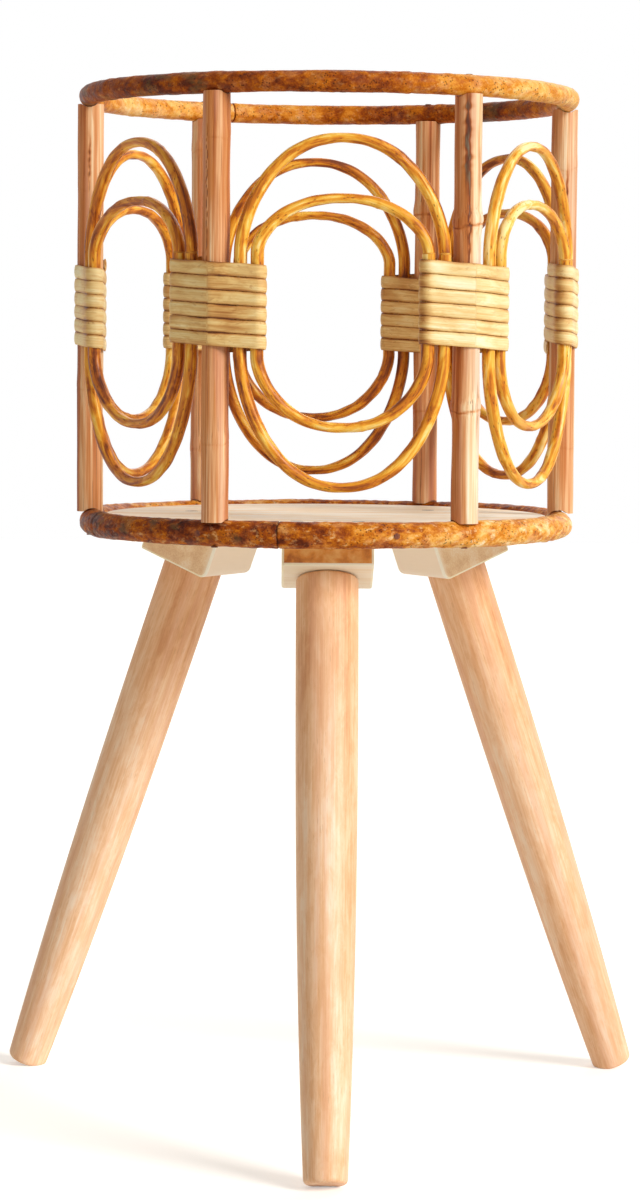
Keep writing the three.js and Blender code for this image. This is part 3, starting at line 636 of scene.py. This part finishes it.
def post_pole(i):
    """An upright pole: circles of the post's radius, swollen round two leaf nodes and a little uneven.
    At each end the circles shrink to the middle over the seat that is cut for the ring. Its tone falls
    in the grooves under the nodes and on the rags of bark."""
    cols, rows, end_rows = 72, 260, 6
    turn = math.radians(POST_TURNS[i])
    cx, cy = AXIS[0] + POST_CIRCLE * math.sin(turn), AXIS[1] - POST_CIRCLE * math.cos(turn)
    low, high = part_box(f"post_{i + 1}")
    around = once_round(cols)[None, :]
    up = np.linspace(0, 1, rows)[:, None]
    way = up * 2 * math.pi
    z = lerp(low.z, high.z, up)
    lean = POST_NODE_LEAN * np.sin(around + i)
    swell = sum(share * hump(z, node + lean, POST_NODE_HEIGHT) for node, share in POST_NODES[i])
    groove = sum(share * hump(z, node - POST_GROOVE_BELOW_NODE + lean, POST_GROOVE_HEIGHT)
                 for node, share in POST_NODES[i])
    uneven = ripple(way, around, 40 + i, 5, 2, 16)
    r = POST_RADIUS - POST_INSET + POST_UNEVEN * uneven
    r = r + POST_NODE_SWELL * swell - POST_GROOVE_DEPTH * groove
    wander = BARK_RAG_WANDER * ripple(way, 0, 140 + i, 30, 0, 20)
    ragged = 1 + 0.35 * ripple(way, 0, 150 + i, 60, 0, 20)
    rag = 0
    for place, bottom_end, top_end, width in BARK_RAGS[i]:
        off = degrees_off(np.degrees(around) + 90 - POST_TURNS[i] - wander, place)
        here = smoothstep(z, bottom_end, bottom_end + BARK_RAG_END)
        here = here * smoothstep(z, top_end, top_end - BARK_RAG_END)
        rag = rag + here * hump(off, 0, width * ragged)
    inner = np.linspace(0.15, 0.96, end_rows)[:, None]
    share = np.concatenate([inner, np.ones((rows, 1)), inner[::-1]])
    r = np.concatenate([np.repeat(r[:1], end_rows, 0), r, np.repeat(r[-1:], end_rows, 0)]) * share
    x, y = cx + r * np.cos(around), cy + r * np.sin(around)
    bottom = seat(x, y, BASE_RADIUS, BASE_POLE, BASE_HEIGHT, 1, low.z)
    top = seat(x, y, TOP_RADIUS, TOP_POLE, TOP_HEIGHT, -1, high.z)
    climb = np.concatenate([np.zeros((end_rows, 1)), up, np.ones((end_rows, 1))])
    height = lerp(bottom, top, climb)
    clean = np.zeros((end_rows, cols))
    scar = np.concatenate([clean, 0.6 * groove + rag + 0 * around, clean])
    # Painted light and shade: paler on the post's right side and browner on its left, by the cosine of
    # the way round.
    tone_with_painted_sides = POST_TONES_AND_PAINTED_SIDES[i][0] + POST_TONES_AND_PAINTED_SIDES[i][1] * np.cos(around)
    grain = np.stack([height, x - cx + 0.03 * i, y - cy], -1)
    piece = lay(f"post_pole_{i + 1}", np.stack([x, y, height], -1), POLE,
                grain=grain, tone=tone_with_painted_sides * (1 - np.clip(scar, 0, 1)), sharp=50)
    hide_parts(f"post_{i + 1}")


for i in range(BAYS):
    post_pole(i)


# ---- Loops of cane ----

def loop_line(size, count):
    """A loop's centre line in its bay's frame, and its length. An arch above and an arch below,
    |x/a|^p + |z/b|^q = 1, are joined by two straight sides inside the bindings, and it all bows out
    between the posts."""
    half = math.radians(BAY / 2)
    out = POST_CIRCLE - size["behind"]
    half_width = out * math.sin(half) - size["aside"] * math.cos(half)
    side_out = out * math.cos(half) + size["aside"] * math.sin(half)
    middle_out = POST_CIRCLE * math.cos(half) + LOOPS_STAND_OUT
    straight = (BINDING_TURNS * BINDING_PITCH + STRIP_WIDTH) / 2 + CANE_STRAIGHT_PAST
    angle = np.linspace(0, math.pi, 4 * count)
    down = np.linspace(1, -1, 40)[1:-1]
    share, height = [], []
    for side in (1, -1):
        start = CAGE_MIDDLE + BINDINGS_ABOVE_MIDDLE + side * straight
        reach = CAGE_MIDDLE - LOOPS_BELOW_MIDDLE + side * size["height"] / 2 - start
        across = np.sign(np.cos(angle)) * np.abs(np.cos(angle)) ** (2 / LOOP_CROWN_POWER)
        share += [side * across, np.full(len(down), -side)]
        height += [start + reach * np.clip(np.sin(angle), 0, 1) ** (2 / LOOP_SIDE_POWER),
                   CAGE_MIDDLE + BINDINGS_ABOVE_MIDDLE + side * straight * down]
    share, height = np.concatenate(share), np.concatenate(height)
    line = np.stack([half_width * share, -lerp(middle_out, side_out, share ** 2), height], -1)
    return even(line, count)


def loop_cane(name, node, size, turn, golden, seed):
    """A round cane along the loop. It thins from the posts to the bends at top and bottom, its
    thickness drifts a little, and it swells at a few nodes."""
    rows, cols = 420, 18
    line, length = loop_line(size, rows)
    along = np.roll(line, -1, 0) - np.roll(line, 1, 0)
    along /= np.linalg.norm(along, axis=1, keepdims=True)
    side = np.cross(np.array([0, -1, 0]), along)
    side /= np.linalg.norm(side, axis=1, keepdims=True)
    out = np.cross(along, side)
    t = once_round(rows)[:, None]
    around = once_round(cols)[None, :]
    radius = lerp(CANE_AT_CROWN, CANE_AT_POSTS, np.abs(along[:, 2:])) / 2
    rng = np.random.default_rng(seed)
    bends = np.abs(along[:, 2:]) < 0.9
    nodes = sum(hump(t, place, 0.02) for place in rng.uniform(0.6, 5.7, 2))
    uneven = ripple(t, around, seed, 40, 2, 20)
    r = radius - CANE_INSET + CANE_UNEVEN * uneven * bends + CANE_NODE_SWELL * nodes * bends
    grid = line[:, None] + r[..., None] * (np.cos(around)[..., None] * side[:, None]
                                           + np.sin(around)[..., None] * out[:, None])
    way = t / (2 * math.pi) * length
    grain = np.stack([way + 0.3 * seed + 0 * around, r * np.cos(around), r * np.sin(around)], -1)
    tone = golden + 0.1 * ripple(t, around * 0, seed + 5, 3, 0, 6) - 0.12 * nodes + 0 * around
    piece = lay(name, turned(grid, turn), CANE, closed=True, grain=grain, tone=tone)
    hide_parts(node)


LOOP_TONES = [0.56, 0.74, 0.42, 0.40, 0.46, 0.36]
for i, (turn, golden) in enumerate(zip(BAY_TURNS, LOOP_TONES)):
    loop_cane(f"loop_cane_large_{i + 1}", f"large_loop_{i + 1}", LARGE_LOOP, turn, golden, 60 + i)
    loop_cane(f"loop_cane_small_{i + 1}", f"small_loop_{i + 1}", SMALL_LOOP, turn, golden, 80 + i)


# ---- Bindings ----

# A binding's tone, and the place in each turn of its strip, as a share of the turn, where a browner
# band lies, with the band's width and strength. On the second binding that band is painted shade, on
# the strip's end where it wraps round the outer cane on the side away from the lamp.
BINDING_TONES = [
    (0.57, 0.57, 0.09, 0.12),
    (0.72, 0.255, 0.035, 0.42),
    (0.72, 0.20, 0.05, 0.35),
    (0.50, 0.50, 0.10, 0.10),
    (0.48, 0.40, 0.12, 0.12),
    (0.68, 0.70, 0.04, 0.25),
]


def bundle_line(count):
    """Once round the post and the four canes beside it, as a tight strip lies, at even steps, and its
    length. In each direction it lies on the circle that reaches furthest, and it runs straight between
    circles."""
    cane = CANE_AT_POSTS / 2
    circles = [(0, 0, POST_RADIUS)]
    for size in (LARGE_LOOP, SMALL_LOOP):
        circles += [(-size["aside"], size["behind"], cane), (size["aside"], size["behind"], cane)]
    circles = np.array(circles)
    angle = math.pi / 2 + once_round(720)
    normal = np.stack([np.cos(angle), np.sin(angle)], -1)
    furthest = (normal @ circles[:, :2].T + circles[:, 2]).argmax(1)
    reach = circles[furthest, 2] + STRIP_CLEARANCE + STRIP_THICKNESS / 2
    return even(circles[furthest, :2] + reach[:, None] * normal, count)


def binding_strip(i):
    """One flat strip, domed on its outer side, wound down the bundle at a steady rate. Its height and
    width drift a little from turn to turn, and the first turn has a lump where the end is tucked in."""
    steps, cols = 150, 24
    once, girth = bundle_line(steps)
    before, after = np.roll(once, 1, 0), np.roll(once, -1, 0)
    along = (after - before) / np.linalg.norm(after - before, axis=1, keepdims=True)
    count = BINDING_TURNS * steps + 1
    at = np.arange(count) % steps
    wound = np.arange(count)[:, None] / steps
    line, normal = once[at], np.stack([along[at, 1], -along[at, 0]], -1)
    half = cols // 2
    over = np.sin(np.linspace(-math.pi / 2, math.pi / 2, half))
    across = np.concatenate([over, over[::-1]])[None, :]
    outer = np.concatenate([np.ones(half), np.zeros(half)])[None, :]
    dome = STRIP_THICKNESS * (0.5 - 0.5 * np.abs(across) ** STRIP_DOME_POWER)
    way = wound / BINDING_TURNS * 2 * math.pi
    drift = ripple(way, across * 0, 100 + i, 40, 0, 10)
    width = STRIP_AS_LAID * (1 + STRIP_WIDTH_DRIFT * ripple(way, 0, 120 + i, 30, 0, 10))
    lump = hump(wound, 0.53, 0.014) * (1 - across ** 2) + 0.5 * hump(wound, 0.56, 0.02) * (1 - across)
    push = outer * (dome + TUCKED_END_LUMP * lump) - (1 - outer) * STRIP_THICKNESS / 2
    middle = CAGE_MIDDLE + BINDINGS_ABOVE_MIDDLE
    height = middle + BINDING_PITCH * (BINDING_TURNS / 2 - wound) + STRIP_HEIGHT_DRIFT * drift
    height = height + across * width / 2
    x = line[:, :1] + push * normal[:, :1]
    y = line[:, 1:] + push * normal[:, 1:] - POST_CIRCLE
    grid = turned(np.stack([x, y, height + 0 * x], -1), POST_TURNS[i])
    apart = 0.02 * np.floor(wound + 0.5)  # so that no two turns have the same marks
    grain = np.stack([wound * girth + 0 * across, across * width / 2 + apart, push], -1)
    pale, brown_band_at, brown_band_width, brown_band = BINDING_TONES[i]
    # The browner band; on the second binding it is painted shade on the strip's shaded end.
    tone = pale + 0.06 * drift - brown_band * hump(wound % 1, brown_band_at, brown_band_width)
    # The tone falls near both edges of the strip: painted shade in the grooves between turns.
    tone = tone + 0.05 * ripple(way, 0, 160 + i, 9, 0, 8) - 0.42 * np.abs(across) ** 6
    piece = lay(f"binding_strip_{i + 1}", grid, STRIP, grain=grain, tone=tone,
                sharp=60, flat_ends=True)
    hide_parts(f"binding_{i + 1}")


for i in range(BAYS):
    binding_strip(i)


# ---- Legs and blocks ----

LEAN = math.radians(LEG_LEAN)
SEAT_OUT = BOARD_RADIUS - LEG_SEAT_INSET
SEAT_HEIGHT = BOARD_UNDERSIDE - BLOCK_DEEP_END + BLOCK_LENGTH / 2 * math.sin(LEAN)


def on_leg(points, turn):
    """Points in a leg's frame, put in place. Its Z runs up the leg's axis from the seat, and its Y
    runs in and down along the slope of the seat."""
    x, y, z = np.moveaxis(points, -1, 0)
    c, s = math.cos(LEAN), math.sin(LEAN)
    return turned(np.stack([x, c * y + s * z - SEAT_OUT, c * z - s * y + SEAT_HEIGHT], -1), turn)


def turned_leg(side, turn):
    """A turned leg: its radius falls from the top to the foot with a power of the way down, so that it
    thins late. The top edge and the foot are rounded, and the foot is sanded flat at the floor."""
    cols, end_rows = 72, 5
    drop = LEG_FOOT_EASE + (LEG_FOOT_RADIUS - LEG_FOOT_EASE) * math.sin(LEAN)
    length = (SEAT_HEIGHT + FOOT_FLAT_DEPTH - drop) / math.cos(LEAN) + LEG_FOOT_EASE
    quarter = np.linspace(0, math.pi / 2, 9)
    foot_end, top_end = length - LEG_FOOT_EASE, CLEARANCE + LEG_TOP_EASE
    way = np.linspace(foot_end, top_end, 220)
    fall = LEG_TOP_RADIUS - LEG_FOOT_RADIUS
    radius = LEG_TOP_RADIUS - fall * (way / foot_end) ** LEG_TAPER_POWER
    flat = np.linspace(0.2, 0.95, end_rows)
    r = np.concatenate([
        flat * (LEG_FOOT_RADIUS - LEG_FOOT_EASE),
        LEG_FOOT_RADIUS - LEG_FOOT_EASE * (1 - np.sin(quarter[:-1])),
        radius,
        LEG_TOP_RADIUS - LEG_TOP_EASE * (1 - np.cos(quarter[1:])),
        flat[::-1] * (LEG_TOP_RADIUS - LEG_TOP_EASE),
    ])[:, None]
    down = np.concatenate([
        np.full(end_rows, length), length - LEG_FOOT_EASE * (1 - np.cos(quarter[:-1])),
        way, top_end - LEG_TOP_EASE * np.sin(quarter[1:]), np.full(end_rows, CLEARANCE),
    ])[:, None]
    around = once_round(cols)[None, :]
    local = np.stack([r * np.cos(around), r * np.sin(around), -down + 0 * around], -1)
    grid = on_leg(local, turn)
    grid[..., 2] = np.maximum(grid[..., 2], 0)
    apart = np.array([0.01 * turn, 0.011, 0.001 * turn])  # so that no two legs have the same figure
    grain = np.stack([down + 0 * around, local[..., 0], local[..., 1]], -1) + apart
    tone = smoothstep(down, 0, LEG_BROWN_TOP)
    piece = lay(f"turned_leg_{side}", grid, LEG_WOOD, grain=grain, tone=tone)
    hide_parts(f"leg_{side}")


def wedge_block(side, turn, wood):
    """A wedge under the board: its side outline, with a rounded lower corner, carried straight across.
    Its lower face is square to the leg and its top is level. All its edges are eased."""
    cols = 12
    end = BLOCK_LENGTH / 2
    rise = BOARD_UNDERSIDE - CLEARANCE - SEAT_HEIGHT

    def top_at(y):
        return (rise + y * math.sin(LEAN)) / math.cos(LEAN)

    corner = np.linspace(-math.pi / 2, 0, 7)
    y = np.concatenate([[-end], end - BLOCK_CORNER + BLOCK_CORNER * np.cos(corner), [end, -end]])
    z = np.concatenate([[0], BLOCK_CORNER + BLOCK_CORNER * np.sin(corner), [top_at(end), top_at(-end)]])
    x = np.linspace(-0.5, 0.5, cols)[:, None] * BLOCK_WIDTH
    local = np.stack([x + 0 * y, y + 0 * x, z + 0 * x], -1)
    tone = 1000 * (local[..., 1] + end)
    grain = np.stack([local[..., 0], local[..., 1] + 0.1 * turn, local[..., 2]], -1)
    piece = lay(f"wedge_block_{side}", on_leg(local, turn), wood,
                grain=grain, tone=tone, flat_ends=True)
    bevel = piece.modifiers.new("eased edges", "BEVEL")
    bevel.width = BLOCK_EDGE_EASE
    bevel.segments = 3
    bevel.limit_method = "ANGLE"
    bevel.angle_limit = math.radians(25)
    bevel.harden_normals = True
    # The bevel's faces take the near-white finish, a painted highlight along the eased edges.
    piece.data.materials.append(PAINTED_EDGE_HIGHLIGHT)
    bevel.material = 1
    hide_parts(f"leg_block_{side}")


for side, turn in LEG_TURNS.items():
    turned_leg(side, turn)
    wedge_block(side, turn, PAINTED_PALER_BLOCK_WOOD if side == "front" else BLOCK_WOOD)


# ---- Solids that stay, in better finishes ----

def refinish(prefix, material):
    """Gives a material to every solid whose name starts with the prefix."""
    for name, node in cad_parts.items():
        if name.startswith(prefix):
            for place in node.material_slots:
                place.material = material


refinish("base_board", BOARD_WOOD)
for prefix in ("top_nail", "base_nail", "board_nail"):
    refinish(prefix, RUST)
for prefix in ("block_screw", "hanger_bolt"):
    refinish(prefix, STEEL)
refinish("leg_insert", BRASS)


# ---- Floor, light and camera ----

def seen_directly(tree):
    """1 for rays from the camera, a mirror or glass, and 0 for the rays that light the stand."""
    path = tree.nodes.new("ShaderNodeLightPath")
    total = path.outputs["Is Camera Ray"]
    for key in ("Is Glossy Ray", "Is Transmission Ray"):
        step = tree.nodes.new("ShaderNodeMath")
        step.operation = "MAXIMUM"
        tree.links.new(total, step.inputs[0])
        tree.links.new(path.outputs[key], step.inputs[1])
        total = step.outputs[0]
    return total


# The world's light on the stand and its colour, the floor's own glow, colour and radius, and how far
# it lies below the feet.
AMBIENT = 0.28
WARM_WHITE = (1, 0.90, 0.77, 1)
FLOOR_GLOW = 0.4
FLOOR_COLOUR = (0.92, 0.9, 0.86, 1)
FLOOR_RADIUS = 6
FLOOR_DROP = 0.0002


def studio_world():
    """Soft even light on the stand, in front of a backdrop that shows white."""
    world = bpy.data.worlds.new("studio")
    bpy.context.scene.world = world
    world.use_nodes = True
    tree = world.node_tree
    soft = tree.nodes["Background"]
    soft.inputs["Strength"].default_value = AMBIENT
    soft.inputs["Color"].default_value = WARM_WHITE
    white = tree.nodes.new("ShaderNodeBackground")
    white.inputs["Color"].default_value = (1, 1, 1, 1)
    white.inputs["Strength"].default_value = 1
    either = tree.nodes.new("ShaderNodeMixShader")
    tree.links.new(seen_directly(tree), either.inputs[0])
    tree.links.new(soft.outputs[0], either.inputs[1])
    tree.links.new(white.outputs[0], either.inputs[2])
    tree.links.new(either.outputs[0], tree.nodes["World Output"].inputs["Surface"])


def studio_floor():
    """A wide white disc, which shows a little brighter than it is lit so that it meets the white
    backdrop, and keeps the stand's shadow."""
    turn = once_round(96)
    x, y = FLOOR_RADIUS * np.cos(turn), FLOOR_RADIUS * np.sin(turn)
    rim = np.stack([x, y, 0 * turn - FLOOR_DROP], -1)
    mesh = bpy.data.meshes.new("floor")
    mesh.from_pydata(rim, [], [list(range(len(rim)))])
    floor = bpy.data.objects.new("floor", mesh)
    bpy.context.scene.collection.objects.link(floor)
    material = bpy.data.materials.new("pale_floor")
    material.use_nodes = True
    tree = material.node_tree
    matt = tree.nodes["Principled BSDF"]
    matt.inputs["Base Color"].default_value = FLOOR_COLOUR
    matt.inputs["Roughness"].default_value = 0.9
    matt.inputs["Specular IOR Level"].default_value = 0.1
    glow = tree.nodes.new("ShaderNodeEmission")
    level = tree.nodes.new("ShaderNodeMath")
    level.operation = "MULTIPLY"
    level.inputs[1].default_value = FLOOR_GLOW
    tree.links.new(seen_directly(tree), level.inputs[0])
    tree.links.new(level.outputs[0], glow.inputs["Strength"])
    both = tree.nodes.new("ShaderNodeAddShader")
    tree.links.new(matt.outputs[0], both.inputs[0])
    tree.links.new(glow.outputs[0], both.inputs[1])
    tree.links.new(both.outputs[0], tree.nodes["Material Output"].inputs["Surface"])
    mesh.materials.append(material)


def soft_light(name, turn, height, spread, strength):
    """A wide, even light from a turn round the stand and a height above the floor, in degrees."""
    light = bpy.data.lights.new(name, "SUN")
    light.angle = math.radians(spread)
    light.energy = strength
    lamp = bpy.data.objects.new(name, light)
    lamp.rotation_euler = (math.radians(90 - height), 0, math.radians(turn))
    bpy.context.scene.collection.objects.link(lamp)


studio_world()
studio_floor()
soft_light("key", turn=54, height=26, spread=24, strength=2.95)
soft_light("fill", turn=-45, height=25, spread=60, strength=0.15)
soft_light("back", turn=160, height=35, spread=50, strength=0.8)

# The camera is fitted to the photograph: its place from the cage's axis, its turns in degrees, and
# its focal length and the photograph's height in pixels. The sensor's longer side is in millimetres.
CAMERA_ASIDE, CAMERA_AWAY, CAMERA_HEIGHT = -0.0246, 2.0783, 0.4671
CAMERA_PITCH, CAMERA_YAW, CAMERA_ROLL = 4.31, 0.59, 0.44
FOCAL_PIXELS, PHOTO_HEIGHT = 3414, 1200
SENSOR_LONG_SIDE = 36
CLIP_END = 50


def photo_camera():
    """A camera that looks along +Y, turned right by the yaw, down by the pitch and then by the roll."""
    pitch, yaw, roll = (math.radians(a) for a in (CAMERA_PITCH, CAMERA_YAW, CAMERA_ROLL))
    ahead = Vector((math.sin(yaw) * math.cos(pitch), math.cos(yaw) * math.cos(pitch), -math.sin(pitch)))
    level = Vector((math.cos(yaw), -math.sin(yaw), 0))
    upright = level.cross(ahead)
    right = level * math.cos(roll) + upright * math.sin(roll)
    up = upright * math.cos(roll) - level * math.sin(roll)
    data = bpy.data.cameras.new("camera")
    data.sensor_width = SENSOR_LONG_SIDE
    data.lens = SENSOR_LONG_SIDE * (FOCAL_PIXELS / PHOTO_HEIGHT)
    data.clip_end = CLIP_END
    camera = bpy.data.objects.new("camera", data)
    place = Vector((CAMERA_ASIDE, AXIS[1] - CAMERA_AWAY, CAMERA_HEIGHT))
    camera.matrix_world = Matrix.Translation(place) @ Matrix((right, up, -ahead)).transposed().to_4x4()
    bpy.context.scene.collection.objects.link(camera)
    bpy.context.scene.camera = camera


photo_camera()
bpy.context.scene.view_settings.view_transform = "Standard"
